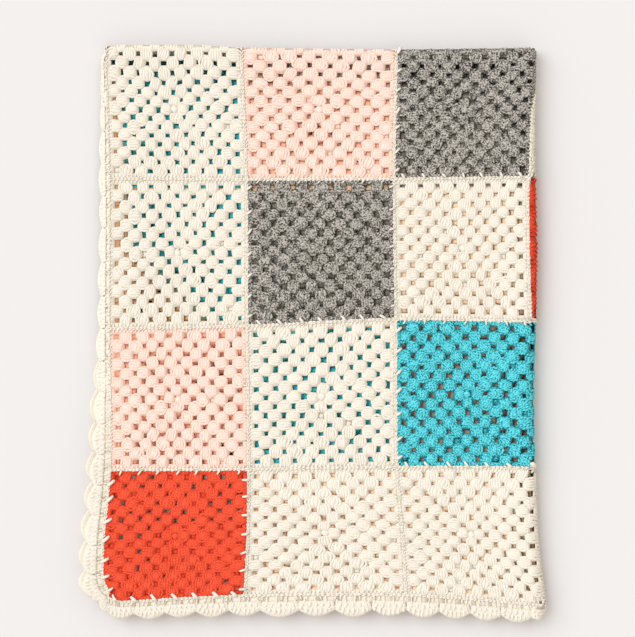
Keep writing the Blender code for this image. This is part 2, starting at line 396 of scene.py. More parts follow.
def shellShape(halfWide, foot, thick, ribs=7, cells=21, rows=6):
    # one scallop of the border: a closed fan of ribs with a rounded rim, its foot along x
    shape = emptyShape()
    for lift in (-0.8, 1.0):
        for j in range(rows + 1):
            v = j / rows
            for i in range(cells + 1):
                u = 2 * i / cells - 1
                reach = pile["valley"] + (pile["border"] - pile["valley"]) * math.cos(math.pi * u / 2)
                twist = math.pi * (ribs * u / 2 + 0.5 * (j % 2))
                rib = 0.45 + 0.55 * abs(math.cos(twist)) ** 0.7
                rim = math.sqrt(max(1 - v ** 8, 0)) * (1 - 0.2 * abs(u) ** 8)
                x = halfWide * u * (0.92 + 0.10 * v)
                y = foot + (reach - foot + 0.0006 * rib) * v
                shape["points"].append((x, y, lift * thick * rib * max(rim, 0.04)))
    across = cells + 1
    high = across * (rows + 1)
    for j in range(rows):
        for i in range(cells):
            a = j * across + i
            low = (a, a + across, a + across + 1, a + 1)
            shape["faces"] += [low, tuple(k + high for k in reversed(low))]
            for corner in (low, tuple(reversed(low))):
                for k in corner:
                    shape["uv"].append(((k // across) * 0.35 + 0.3 * (i // 3), (k % across) * 0.25))
    rim = list(range(cells + 1))
    rim += [j * across + cells for j in range(1, rows + 1)]
    rim += [rows * across + k for k in range(cells - 1, -1, -1)]
    rim += [j * across for j in range(rows - 1, 0, -1)]
    for k, a in enumerate(rim):
        b = rim[(k + 1) % len(rim)]
        shape["faces"].append((a, b, b + high, a + high))
        shape["uv"] += [(0, 0)] * 4
    return shape


def strokeShape(length, radius, rise, lean=0.0, steps=4, sides=4, tip=0.5):
    # a short strand along y that rises in its middle and may lean across
    shape = emptyShape()
    t = np.linspace(0, 1, steps)
    path = np.stack([lean * (t - 0.5), length * (t - 0.5), rise * np.sin(math.pi * t)], axis=1)
    addStrand(shape, path, radius, sides, tip)
    return shape


print("shapes of the stitches made")


# The yarns: the colours on the strands, and the painted shade in their creases; the painted light
# and shade that the yarn is given where it is seen through the gaps, and the painted tint of light
# and shade that it casts on the layer under it. Full is how fat its puffs are, closed the share of
# gaps that are grown over, depth how dark the painted crease shade is.
yarns = {
    "C": {
        "name": "creamYarn", "slot": "cream_yarn",
        "strand": (0.826, 0.770, 0.668), "creaseShade": (0.80, 0.65, 0.47),
        "gapShading": (1.0, 0.66, 0.40), "castShading": (1.0, 1.0, 1.0), "full": 1.03, "closed": 0.05,
        "depth": 0.26, "plyShade": 0.10, "fleck": 1.5, "fleckSize": 600.0, "fleckMiddle": 0.50, "bump": 0.45,
    },
    "P": {
        "name": "pinkYarn", "slot": "pink_yarn",
        "strand": (0.95, 0.73, 0.63), "creaseShade": (0.84, 0.36, 0.23),
        "gapShading": (0.98, 0.60, 0.36), "castShading": (1.0, 0.64, 0.62), "full": 1.03, "closed": 0.05,
        "depth": 0.34, "plyShade": 0.16, "fleck": 1.3, "fleckSize": 600.0, "fleckMiddle": 0.50, "bump": 0.6,
    },
    "G": {
        "name": "greyYarn", "slot": "grey_yarn",
        "strand": (0.55, 0.513, 0.453), "creaseShade": (0.045, 0.040, 0.034),
        "gapShading": (0.26, 0.26, 0.21), "castShading": (0.75, 0.70, 0.65), "full": 1.02, "closed": 0.1,
        "depth": 0.60, "plyShade": 0.20, "fleck": 4.4, "fleckSize": 430.0, "fleckMiddle": 0.575, "bump": 0.6,
    },
    "T": {
        "name": "tealYarn", "slot": "teal_yarn",
        "strand": (0.13, 0.72, 0.79), "creaseShade": (0.002, 0.13, 0.16),
        "gapShading": (0.03, 0.36, 0.38), "castShading": (0.20, 0.24, 0.30), "full": 1.05, "closed": 0.1,
        "depth": 0.72, "plyShade": 0.38, "fleck": 3.2, "fleckSize": 450.0, "fleckMiddle": 0.545, "bump": 0.6,
    },
    "R": {
        "name": "redYarn", "slot": "red_yarn",
        "strand": (0.88, 0.105, 0.047), "creaseShade": (0.50, 0.022, 0.008),
        "gapShading": (0.60, 0.05, 0.02), "castShading": (1.3, 1.15, 1.05), "full": 1.07, "closed": 0.85,
        "depth": 0.52, "plyShade": 0.38, "fleck": 1.4, "fleckSize": 480.0, "fleckMiddle": 0.52, "bump": 0.6,
    },
}


def addNode(tree, kind, at, **settings):
    node = tree.nodes.new(kind)
    node.location = at
    for key, value in settings.items():
        setattr(node, key, value)
    return node


def mathNode(tree, kind, at, *values, clamp=False):
    # a math node whose inputs are sockets to join or plain numbers
    node = addNode(tree, "ShaderNodeMath", at, operation=kind, use_clamp=clamp)
    for k, value in enumerate(values):
        if isinstance(value, (int, float)):
            node.inputs[k].default_value = value
        else:
            tree.links.new(value, node.inputs[k])
    return node.outputs[0]


def yarnTwistGroup():
    # plies that wind round a strand, painted lighter on top and darker between them, fibres and flecks on
    # them, and painted shade in the creases
    group = bpy.data.node_groups.new("yarnTwist", "ShaderNodeTree")
    inputs = {"Turns a cm": 2.6, "Plies": 2.0, "Ply shade": 0.16, "Fleck": 0.4, "Fleck size": 600.0,
              "Fleck middle": 0.5, "Crease shade": 0.6}
    group.interface.new_socket("Uv", in_out="INPUT", socket_type="NodeSocketVector")
    group.interface.new_socket("Lift", in_out="INPUT", socket_type="NodeSocketFloat")
    for label, value in inputs.items():
        group.interface.new_socket(label, in_out="INPUT", socket_type="NodeSocketFloat").default_value = value
    group.interface.new_socket("Shade", in_out="OUTPUT", socket_type="NodeSocketFloat")
    group.interface.new_socket("Height", in_out="OUTPUT", socket_type="NodeSocketFloat")
    source = addNode(group, "NodeGroupInput", (-1100, 0))
    target = addNode(group, "NodeGroupOutput", (900, 0))
    given = source.outputs
    split = addNode(group, "ShaderNodeSeparateXYZ", (-900, 0))
    group.links.new(given["Uv"], split.inputs[0])
    along = mathNode(group, "MULTIPLY", (-700, 100), split.outputs["X"], given["Turns a cm"])
    around = mathNode(group, "MULTIPLY", (-700, -80), split.outputs["Y"], given["Plies"])
    phase = mathNode(group, "ADD", (-520, 0), along, around)
    turned = mathNode(group, "MULTIPLY", (-360, 0), phase, 2 * math.pi)
    wave = mathNode(group, "SINE", (-200, 0), turned)
    place = addNode(group, "ShaderNodeTexCoord", (-900, -300))
    noise = addNode(group, "ShaderNodeTexNoise", (-520, -300))
    noise.inputs["Detail"].default_value = 2.0
    noise.inputs["Roughness"].default_value = 0.65
    group.links.new(place.outputs["Object"], noise.inputs["Vector"])
    group.links.new(given["Fleck size"], noise.inputs["Scale"])
    fleck = mathNode(group, "SUBTRACT", (-340, -300), noise.outputs["Fac"], given["Fleck middle"])
    flecked = mathNode(group, "MULTIPLY", (-180, -300), fleck, given["Fleck"])
    # painted light and shade of the plies: lighter on their crowns, darker in their grooves
    plied = mathNode(group, "MULTIPLY", (0, 0), wave, given["Ply shade"])
    # painted shade in the creases: darker where the cloth lies low
    lifted = mathNode(group, "MULTIPLY", (0, 200), given["Lift"], given["Crease shade"])
    base = mathNode(group, "SUBTRACT", (160, 300), 1.0, given["Crease shade"])
    level = mathNode(group, "ADD", (320, 200), base, lifted)
    marked = mathNode(group, "ADD", (480, 100), level, plied)
    shade = mathNode(group, "ADD", (640, 0), marked, flecked, clamp=True)
    rise = mathNode(group, "MULTIPLY_ADD", (480, -200), wave, 0.4, noise.outputs["Fac"])
    group.links.new(shade, target.inputs["Shade"])
    group.links.new(rise, target.inputs["Height"])
    return group


def yarnMaterial(letter, twistGroup):
    y = yarns[letter]
    material = bpy.data.materials.new(y["name"])
    material.use_nodes = True
    tree = material.node_tree
    shader = tree.nodes["Principled BSDF"]
    shader.inputs["Roughness"].default_value = 0.95
    shader.inputs["Specular IOR Level"].default_value = 0.12
    uv = addNode(tree, "ShaderNodeUVMap", (-1100, 0), uv_map="yarnUV")
    lift = addNode(tree, "ShaderNodeAttribute", (-1100, -200), attribute_name="lift")
    twist = addNode(tree, "ShaderNodeGroup", (-850, 0), node_tree=twistGroup)
    for label, key in (("Fleck", "fleck"), ("Fleck size", "fleckSize"), ("Fleck middle", "fleckMiddle"),
                       ("Ply shade", "plyShade"), ("Crease shade", "depth")):
        twist.inputs[label].default_value = y[key]
    # painted crease shade: the crease colour where the cloth lies low, the strand colour where it stands high
    dyeAndShade = addNode(tree, "ShaderNodeMix", (-350, 150), data_type="RGBA")
    dyeAndShade.inputs["A"].default_value = (*y["creaseShade"], 1)
    dyeAndShade.inputs["B"].default_value = (*y["strand"], 1)
    bump = addNode(tree, "ShaderNodeBump", (-350, -200))
    bump.inputs["Strength"].default_value = y["bump"]
    bump.inputs["Distance"].default_value = 0.0005
    tree.links.new(uv.outputs["UV"], twist.inputs["Uv"])
    tree.links.new(lift.outputs["Fac"], twist.inputs["Lift"])
    tree.links.new(twist.outputs["Shade"], dyeAndShade.inputs["Factor"])
    # painted light and shade of the gaps on the second layer, then the painted tint that the yarn overhead
    # casts on it
    under = addNode(tree, "ShaderNodeAttribute", (-350, 400), attribute_name="gapShading")
    warmed = addNode(tree, "ShaderNodeMix", (-150, 250), data_type="RGBA")
    warmed.inputs["B"].default_value = (*y["gapShading"], 1)
    tree.links.new(under.outputs["Fac"], warmed.inputs["Factor"])
    tree.links.new(dyeAndShade.outputs["Result"], warmed.inputs["A"])
    castShading = addNode(tree, "ShaderNodeAttribute", (-150, 480), attribute_name="castShading")
    tinted = addNode(tree, "ShaderNodeMix", (50, 250), data_type="RGBA", blend_type="MULTIPLY")
    tinted.inputs["Factor"].default_value = 1
    tree.links.new(warmed.outputs["Result"], tinted.inputs["A"])
    tree.links.new(castShading.outputs["Color"], tinted.inputs["B"])
    tree.links.new(tinted.outputs["Result"], shader.inputs["Base Color"])
    tree.links.new(twist.outputs["Height"], bump.inputs["Height"])
    tree.links.new(bump.outputs["Normal"], shader.inputs["Normal"])
    return material


twistGroup = yarnTwistGroup()
yarnMaterials = {letter: yarnMaterial(letter, twistGroup) for letter in yarns}
print("yarns mixed")


# what a point says of the stitch that is put on it: its turn, its size and its number
stitchFacts = {"turn": "FLOAT", "size": "FLOAT_VECTOR", "pick": "INT"}


def stitchTree(name):
    # puts one stitch of a collection on each point, turned and sized as the point says
    tree = bpy.data.node_groups.new(name, "GeometryNodeTree")
    sockets = {}
    inputs = {"Geometry": "Geometry", "Stitches": "Collection", "Yarn": "Material", "Unevenness": "Float",
              "Seed": "Int"}
    for label, kind in inputs.items():
        socket = tree.interface.new_socket(label, in_out="INPUT", socket_type="NodeSocket" + kind)
        sockets[label] = socket.identifier
    tree.interface.new_socket("Geometry", in_out="OUTPUT", socket_type="NodeSocketGeometry")
    source = addNode(tree, "NodeGroupInput", (-1000, 0))
    target = addNode(tree, "NodeGroupOutput", (800, 0))
    stock = addNode(tree, "GeometryNodeCollectionInfo", (-700, -150))
    stock.inputs["Separate Children"].default_value = True
    stock.inputs["Reset Children"].default_value = True
    said = {}
    for k, (label, kind) in enumerate(stitchFacts.items()):
        node = addNode(tree, "GeometryNodeInputNamedAttribute", (-700, -400 - 280 * k), data_type=kind)
        node.inputs["Name"].default_value = label
        said[label] = node.outputs["Attribute"]
    euler = addNode(tree, "ShaderNodeCombineXYZ", (-140, -400))
    rotation = addNode(tree, "FunctionNodeEulerToRotation", (20, -400))
    low = addNode(tree, "ShaderNodeMath", (-700, -820), operation="SUBTRACT")
    low.inputs[0].default_value = 1
    high = addNode(tree, "ShaderNodeMath", (-520, -880), operation="ADD")
    high.inputs[0].default_value = 1
    factor = addNode(tree, "FunctionNodeRandomValue", (-340, -800), data_type="FLOAT")
    scale = addNode(tree, "ShaderNodeVectorMath", (-140, -650), operation="SCALE")
    put = addNode(tree, "GeometryNodeInstanceOnPoints", (200, 0))
    put.inputs["Pick Instance"].default_value = True
    real = addNode(tree, "GeometryNodeRealizeInstances", (400, 0))
    dyeAndShade = addNode(tree, "GeometryNodeSetMaterial", (600, 0))
    links = tree.links
    links.new(source.outputs["Geometry"], put.inputs["Points"])
    links.new(source.outputs["Stitches"], stock.inputs["Collection"])
    links.new(stock.outputs[0], put.inputs["Instance"])
    links.new(said["pick"], put.inputs["Instance Index"])
    links.new(said["turn"], euler.inputs["Z"])
    links.new(euler.outputs[0], rotation.inputs[0])
    links.new(rotation.outputs[0], put.inputs["Rotation"])
    links.new(source.outputs["Unevenness"], low.inputs[1])
    links.new(source.outputs["Unevenness"], high.inputs[1])
    links.new(low.outputs[0], factor.inputs[2])
    links.new(high.outputs[0], factor.inputs[3])
    links.new(source.outputs["Seed"], factor.inputs["Seed"])
    links.new(said["size"], scale.inputs[0])
    links.new(factor.outputs[1], scale.inputs["Scale"])
    links.new(scale.outputs[0], put.inputs["Scale"])
    links.new(put.outputs[0], real.inputs[0])
    links.new(real.outputs[0], dyeAndShade.inputs["Geometry"])
    links.new(source.outputs["Yarn"], dyeAndShade.inputs["Material"])
    links.new(dyeAndShade.outputs[0], target.inputs[0])
    return tree, sockets


stitchNodes, stitchSockets = stitchTree("stitchesOnPoints")


def stitchStock(name, shapes):
    # the stitches that one pattern may call for, by number
    stock = bpy.data.collections.new(name)
    for k, shape in enumerate(shapes):
        mesh = bpy.data.meshes.new(f"{name}{k}")
        mesh.from_pydata([tuple(p) for p in shape["points"]], [], shape["faces"])
        layer = mesh.uv_layers.new(name="yarnUV")
        layer.data.foreach_set("uv", np.asarray(shape["uv"], float).ravel())
        mesh.shade_smooth()
        stock.objects.link(bpy.data.objects.new(f"{name}{k}", mesh))
    return stock


def emptyPlan():
    return {"place": [], "turn": [], "size": [], "pick": []}


def addStitch(plan, place, turn, size, pick):
    plan["place"].append(place)
    plan["turn"].append(turn)
    plan["size"].append(size)
    plan["pick"].append(pick)


# the painted tint of light and shade that each square of the top layer casts on the layer under it
castShadingByYarn = np.array([[yarns[letter]["castShading"] for letter in line[:3]] for line in pattern[pile["lastRow"]:]])

# The second layer is seen only through the gaps, and there its colour is painted with the light that the yarn
# above would warm and with the shade of the gaps: where that starts and ends, how strong it is, and how far
# the rows overhead are from it.
gapLight = {
    "fromRow": 0.12,
    "rowFade": 0.1,
    "toColumn": 3.1,
    "columnFade": 0.06,
    "borderTo": 0.10,
    "borderFade": 0.03,
    "share": 0.85,
    "overhead": 0.11,
}

# At the left the second layer's edge is seen in shade, painted as a darker colour, and in the red square's
# glow, painted as dark red. The lower left of its teal square in row 1 has slipped over the brownish one that
# follows it.
leftGaps = {
    "edge": 0.16,
    "fade": 0.04,
    "shadeRows": (0.0, 2.02),
    "shade": (0.60, 0.46, 0.34),
    "redRows": (2.98, 4.2),
    "red": (0.40, 0.085, 0.05),
    "slipRow": 1.40,
    "slipSlope": 0.78,
    "slipColumn": 0.70,
    "slipped": (19.0, 1.0, 0.46),
}


def leftCast(column, top, material):
    # how the left gaps turn the colour that is seen through them, with painted shade and a painted dark red
    # glow; top is the row overhead
    g = leftGaps
    edge = np.clip((g["edge"] - column) / g["fade"], 0, 1)
    slip = np.clip((top - g["slipRow"] - g["slipSlope"] * column) / g["fade"], 0, 1)
    slip = slip * (column < g["slipColumn"])
    changes = {
        yarns["C"]["name"]: ((edge, "shadeRows", "shade"), (edge, "redRows", "red")),
        yarns["T"]["name"]: ((slip, "shadeRows", "slipped"),),
    }
    turned = np.ones((len(column), 3))
    for share, rows, tint in changes.get(material.name, ()):
        shown = (top > g[rows][0]) & (top < g[rows][1])
        turned += (share * shown)[:, None] * (np.array(g[tint]) - 1)
    return turned


def shadeMesh(mesh, flat, material, creaseShade):
    # writes what the yarn's material reads: how high a point stands, for the painted crease shade, and the
    # painted light and shade that the gaps give it
    g = gapLight
    # how high each point stands, which sets the painted crease shade
    lift = np.clip((flat[:, 2] - creaseShade[0]) / (creaseShade[1] - creaseShade[0]), 0, 1)
    column = flat[:, 0] / pile["square"]
    row = -flat[:, 1] / pile["square"]
    # the share of painted gap light and shade on the second layer
    gapShading = np.clip((-row - g["fromRow"]) / g["rowFade"], 0, 1)
    gapShading *= np.clip((g["toColumn"] - column) / g["columnFade"], 0, 1)
    gapShading *= g["share"] * np.clip((column + g["borderTo"]) / g["borderFade"], 0, 1)
    top = g["overhead"] - row * pile["bunched"]
    overhead = np.clip(top, 0, pile["lastRow"] - 0.01).astype(int)
    beside = np.clip(column, 0, 2.99).astype(int)
    # the painted tint of light and shade that the square overhead casts
    castShading = np.ones((len(flat), 4))
    castShading[:, :3] += gapShading[:, None] * (castShadingByYarn[overhead, beside] - 1)
    castShading[:, :3] *= leftCast(column, np.where(gapShading > 0, top, 0), material)
    mesh.attributes.new("lift", "FLOAT", "POINT").data.foreach_set("value", lift)
    mesh.attributes.new("gapShading", "FLOAT", "POINT").data.foreach_set("value", gapShading)
    mesh.attributes.new("castShading", "FLOAT_COLOR", "POINT").data.foreach_set("color", castShading.ravel())


def workStitches(name, plan, stock, material, unevenness, seed, creaseShade):
    # works the stitches of one piece on the open throw, and folds them into the pile;
    # the last argument gives the heights of the cloth's creases and of its strands, over which the painted
    # crease shade fades
    points = bpy.data.meshes.new(name + "Plan")
    points.from_pydata([tuple(p) for p in plan["place"]], [], [])
    for label, kind in stitchFacts.items():
        values = np.asarray(plan[label], int if kind == "INT" else float)
        field = "vector" if kind == "FLOAT_VECTOR" else "value"
        points.attributes.new(label, kind, "POINT").data.foreach_set(field, values.ravel())
    holder = bpy.data.objects.new(name + "Plan", points)
    bpy.context.collection.objects.link(holder)
    modifier = holder.modifiers.new("stitches", "NODES")
    modifier.node_group = stitchNodes
    modifier[stitchSockets["Stitches"]] = stock
    modifier[stitchSockets["Yarn"]] = material
    modifier[stitchSockets["Unevenness"]] = unevenness
    modifier[stitchSockets["Seed"]] = seed
    ready = holder.evaluated_get(bpy.context.evaluated_depsgraph_get())
    mesh = bpy.data.meshes.new_from_object(ready)
    bpy.data.objects.remove(holder)
    for label in stitchFacts:
        if label in mesh.attributes:
            mesh.attributes.remove(mesh.attributes[label])
    flat = np.empty(len(mesh.vertices) * 3)
    mesh.vertices.foreach_get("co", flat)
    flat = flat.reshape(-1, 3)
    shadeMesh(mesh, flat, material, creaseShade)
    mesh.vertices.foreach_set("co", foldPoints(flat).ravel())
    mesh.update()
    return mesh


def makePiece(name, mesh):
    piece = bpy.data.objects.new(name, mesh)
    bpy.context.collection.objects.link(piece)
    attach(piece, "root")
    return piece


# how the rounds of a granny square lie, in squares from its middle
granny = {
    "rounds": 7,
    "firstGap": 0.0600,
    "roundStep": 0.0637,
    "fullPitch": 0.1265,
    "knot": (0.62, 0.62, 0.9),
    "narrowest": 0.74,
    "firstRoundLong": 0.85,
    "lastRowFull": 1.04,
    "underFull": 1.08,
    "flatness": 0.82,
    "unevenAcross": 0.0042,
    "unevenOut": 0.0034,
    "unevenTurn": 0.13,
    "unevenSize": 0.05,
    "drift": 0.0100,
    "grownOver": (0.6, 0.5, 0.6),
    "grownDepth": -0.0016,
    "grownLine": 0.1,
    "grownBelow": 0.35,
    "edgeLine": 0.4800,
    "edgeStitches": 36,
    "edgePads": 5,
    "edgeLoose": 0.16,
    "foldPad": (1, 1.3, 1),
    "foldPadLift": 0.0004,
}


def squareNumber(column, row):
    return (row - pile["firstRow"]) * pile["columns"] + column


def onSquare(column, row, x, y, z=0.0):
    # a place on the open throw, x and y in squares from the middle of one of its squares
    return (column + 0.5 + x) * pile["square"], (y - row - 0.5) * pile["square"], z


def turnedPlace(across, out, angle):
    x = across * math.cos(angle) - out * math.sin(angle)
    return x, across * math.sin(angle) + out * math.cos(angle)


def drifted(x, y, number):
    # the slow waywardness of a hand-worked square
    amount = granny["drift"] * np.clip(4 * (0.25 - max(x * x, y * y)), 0, 1)
    x2 = x + amount * math.sin(9.0 * y + 1.7 * number)
    y2 = y + amount * math.sin(8.0 * x + 2.3 * number + 1.0)
    return x2, y2


def squarePlan(column, row, rng, picks, full, closed=None):
    # every cluster of one square, each of the stitches that picks lists
    g = granny
    number = squareNumber(column, row)
    plan = emptyPlan()
    if len(picks) == 1:
        addStitch(plan, onSquare(column, row, 0, 0), math.pi / 4, g["knot"], picks[0][0])
    for turn in range(1, g["rounds"] + 1):
        reach = g["firstGap"] + g["roundStep"] * (turn - 1)
        pitch = 2 * reach / turn
        wide = max(pitch / g["fullPitch"], g["narrowest"]) * full
        long = (1.0 if turn > 1 else g["firstRoundLong"]) * full
        for side in range(4):
            angle = -math.pi / 2 * side
            for k in range(turn):
                t = -reach + (k + 0.5) * pitch + rng.normal(0, g["unevenAcross"])
                r = reach + rng.normal(0, g["unevenOut"])
                x, y = drifted(*turnedPlace(t, r, angle), number)
                turned = angle + rng.normal(0, g["unevenTurn"])
                kind = int(rng.integers(0, 4)) % len(picks)
                for pick in picks[kind]:
                    addStitch(plan, onSquare(column, row, x, y), turned, (wide, long, g["flatness"]), pick)
                # the gap beside a cluster is grown over here and there
                x, y = drifted(*turnedPlace(t - pitch / 2, r, angle), number)
                if closed and rng.random() < closed * (1 if y < g["grownLine"] else g["grownBelow"]):
                    addStitch(plan, onSquare(column, row, x, y, g["grownDepth"]), turned, g["grownOver"], 0)
    return plan


def closeFold(plan, column, pad):
    # packed yarn behind the puffs that turn over the top fold
    for k in range(granny["edgePads"]):
        x = (column + (k + 0.5) / granny["edgePads"]) * pile["square"]
        place = (x, -pile["foldRow"] * pile["square"], granny["foldPadLift"])
        addStitch(plan, place, 0.0, granny["foldPad"], pad)


def edgePlan(plan, column, row, rng, stitch, pad):
    # the row of single crochet round a square, in its own yarn
    line = granny["edgeLine"]
    for side in range(4):
        angle = -math.pi / 2 * side
        for count, pick in ((granny["edgeStitches"], stitch), (granny["edgePads"], pad)):
            for k in range(0 if pick is None else count):
                x, y = turnedPlace(line * (2 * (k + 0.5) / count - 1), line, angle)
                loose = rng.normal(0, granny["edgeLoose"]) if pick == stitch else 0
                addStitch(plan, onSquare(column, row, x, y), angle + loose, (1, 1, 1), pick)


# the seen squares: four puffs that differ a little, on a ground of pads and edge stitches
postStock = stitchStock("postStitch", [puffShape(share * cluster["sway"]) for share in (0, 1, -1, 1.6)])
groundStock = stitchStock("groundStitch", [
    padShape(cluster["pad"], 0.5, around=12),
    padShape((0.0215, 0.0042, 0.0014)),
    strokeShape(0.0064, 0.0014, 0.0012, 0.0024),
])
# the squares on the floor: three posts and a pad for a cluster, the edge stitch and its pad
plainStock = stitchStock("plainStitch", [
    plainPostShape(-1),
    plainPostShape(0),
    plainPostShape(1),
    padShape((0.0072, 0.0074, 0.0011)),
    strokeShape(0.0064, 0.0014, 0.0012, 0.0024, steps=3, sides=3),
    padShape((0.0210, 0.0054, 0.0011)),
])
# the squares between: a plain cluster and a pad for the edge
lowStock = stitchStock("lowStitch", [
    lensShape((0.0132, 0.0082, 0.0012)),
    lensShape((0.0210, 0.0056, 0.0010)),
])

# for each place in the pile its meshes: the ending of the name, the stock, the stitches that
# a cluster takes, then the edge's stitch and pad
layers = {
    "top": (("", postStock, ((0,), (1,), (2,), (3,)), None, None), ("_ground", groundStock, ((0,),), 2, 1)),
    "floor": (("", plainStock, ((0, 1, 2, 3),), 4, 5),),
    "between": (("", lowStock, ((0,),), None, 1),),
}
# heights over which the painted crease shade fades: top squares, hidden ones, and hidden teal and red ones
# painted lighter
creases = {"puffs": (0.0002, 0.0022), "low": (0.0002, 0.0028), "lowBright": (-0.0014, 0.0016)}


def workSquare(column, row):
    # one square: its puffs, and where it is seen its ground too
    line = row - pile["firstRow"]
    letter = pattern[line][column]
    yarn = yarns[letter]
    number = squareNumber(column, row)
    place = "between" if row < 0 else "top" if column < 3 else "floor"
    full = 1.0
    if place == "top":
        full = yarn["full"] * (granny["lastRowFull"] if row == pile["lastRow"] - 1 else 1)
    elif row == pile["firstRow"] and column < 3:
        full = granny["underFull"]
    creaseShade = creases["puffs"]
    if place == "between":
        creaseShade = creases["lowBright" if letter in "TR" else "low"]
    pieces = []
    for ending, stock, picks, edge, edgePad in layers[place]:
        name = f"square_{line + 1}_{column + 1}{ending}"
        rng = np.random.default_rng(number)
        backed = place == "top" and edgePad is not None
        plan = squarePlan(column, row, rng, picks, full, yarn["closed"] if backed else None)
        edgePlan(plan, column, row, rng, edge, edgePad)
        if row == 0 and backed:
            closeFold(plan, column, edgePad)
        mesh = workStitches(name, plan, stock, yarnMaterials[letter], granny["unevenSize"], number, creaseShade)
        pieces.append(makePiece(name, mesh))
    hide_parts(f"square_r{line + 1}c{column + 1}")
    return pieces


squares = []
for row in range(pile["firstRow"], pile["lastRow"]):
    for column in range(pile["columns"]):
        squares += workSquare(column, row)
print("squares worked", sum(len(piece.data.polygons) for piece in squares))


# the seams: a cream braid over each join, and its whipped stitches over the coloured squares;
# teeth has the lean, in degrees, and the length of the whipped stitches at each edge
seam = {
    "pitch": 0.0054,
    "height": 0.0009,
    "apart": 0.0009,
    "unevenApart": 0.0003,
    "unevenAlong": 0.08,
    "loose": 0.2,
    "unevenSize": 0.04,
    "pads": 8,
    "toothPitch": 0.0275,
    "toothReach": 0.0036,
    "toothRise": 0.0022,
    "toothWide": 1.3,
    "toothUneven": 0.07,
    "toothLoose": 9.0,
    "toothSize": {"C": 0.0, "P": 0.0, "G": 0.8, "T": 0.9, "R": 1.15},
    "teeth": {"left": (40, 1.0), "right": (10, 0.8), "top": (55, 0.6), "foot": (130, 1.0)},
    "toothless": 2.9,
    "wide": 0.010,
    # heights over which the painted crease shade fades
    "creaseShade": (0.0002, 0.0026),
}
seamStock = stitchStock("seamStitch", [
    strokeShape(0.0062, 0.0013, 0.0008, 0.0016),
    strokeShape(0.0062, 0.0013, 0.0008, -0.0016),
    strokeShape(0.0112, 0.0020, 0.0011, tip=0.7),
    padShape((0.0135, 0.0025, 0.0017)),
])


def yarnAt(column, row):
    inside = 0 <= column < pile["columns"] and pile["firstRow"] <= row < pile["lastRow"]
    return pattern[row - pile["firstRow"]][column] if inside else "C"


def seamTeeth(plan, start, along, out, beside, rng):
    # whipped stitches lean one way along the foot of a square and the other way elsewhere
    s = pile["square"]
    count = round(s / seam["toothPitch"])
    for hand, yarn in zip((1, -1), beside):
        if seam["toothSize"][yarn] == 0:
            continue
        edge = ("left" if hand > 0 else "right") if along[0] == 0 else ("top" if hand < 0 else "foot")
        lean, long = seam["teeth"][edge]
        big = seam["toothSize"][yarn] * long
        for k in range(count):
            place = start + along * s * (k + 0.5 + rng.normal(0, seam["toothUneven"])) / count
            place = place + out * hand * seam["toothReach"]
            turned = math.radians(lean - 90 + rng.normal(0, seam["toothLoose"]))
            size = (seam["toothWide"] * big, big * rng.uniform(0.85, 1.1), 1)
            addStitch(plan, (*place, seam["height"] + seam["toothRise"]), turned, size, 2)


def seamPlan(plan, start, end, beside, rng, fine):
    # one join between two squares; beside holds the yarns to its left and right
    s = pile["square"]
    start = np.array(start, float) * (s, -s)
    end = np.array(end, float) * (s, -s)
    along = (end - start) / s
    out = np.array((-along[1], along[0]))
    angle = math.atan2(-along[0], along[1])
    count = round(s / seam["pitch"])
    for k in range(count if fine else 0):
        place = start + along * s * (k + 0.5 + rng.normal(0, seam["unevenAlong"])) / count
        for hand, pick in ((-1, 1), (1, 0)):
            spot = place + out * (hand * seam["apart"] + rng.normal(0, seam["unevenApart"]))
            addStitch(plan, (*spot, seam["height"]), angle + rng.normal(0, seam["loose"]), (1, 1, 1), pick)
    for k in range(seam["pads"]):
        place = start + along * s * (k + 0.5) / seam["pads"]
        addStitch(plan, (*place, 0.0), angle + math.pi / 2, (1, 1, 1), 3)
    onFold = start[0] > seam["toothless"] * s and along[0] == 0
    if fine and not onFold:
        seamTeeth(plan, start, along, out, beside, rng)


def workSeams():
    rng = np.random.default_rng(77)
    plan = emptyPlan()
    wide = pile["columns"]
    rows = range(pile["firstRow"], pile["lastRow"])
    for row in rows:
        for column in range(wide + 1):
            beside = (yarnAt(column, row), yarnAt(column - 1, row))
            seamPlan(plan, (column, row), (column, row + 1), beside, rng, row >= 0 and column <= 3)
    for row in range(pile["firstRow"], pile["lastRow"] + 1):
        for column in range(wide):
            beside = (yarnAt(column, row - 1), yarnAt(column, row))
            seamPlan(plan, (column, row), (column + 1, row), beside, rng, row >= 0 and column < 3)
    mesh = workStitches("joiningRow", plan, seamStock, yarnMaterials["C"], seam["unevenSize"], 5,
                        seam["creaseShade"])
    return makePiece("joiningRow", mesh)


joiningRow = workSeams()
print("seams joined", len(joiningRow.data.polygons))


# the border: rows of cream, then shells whose strands fan out to a scalloped edge; fans has
# how many strands stand in each row of a shell, where they start and where they end
border = {
    "rowPitch": 0.0058,
    "rows": ((0.0042, 4), (0.0090, 2)),
    "stitch": 0.0068,
    "stitchReach": 0.0032,
    "stitchSway": (0.0008, 0.0006),
    "padPitch": 0.022,
    "padReach": 0.0050,
    "shellHalf": 0.0226,
    "shellFoot": 0.0080,
    "shellThick": 0.0025,
    "fans": ((5, 0.0095, 0.0165), (7, 0.0158, None)),
    "fanStrand": 0.0070,
    "fanShare": 0.96,
    "rim": 0.0012,
    "cornerStrands": 8,
    "corner": (0.003, 0.012),
    "foldCorner": ((2.95, 3.96), (3.05, 3.96), (2.98, 4.02), (3.05, 4.04), (2.93, 4.03)),
    "unevenSize": 0.05,
    # heights over which the painted crease shade fades
    "creaseShade": (0.0008, 0.0032),
    "deep": 0.0265,
}
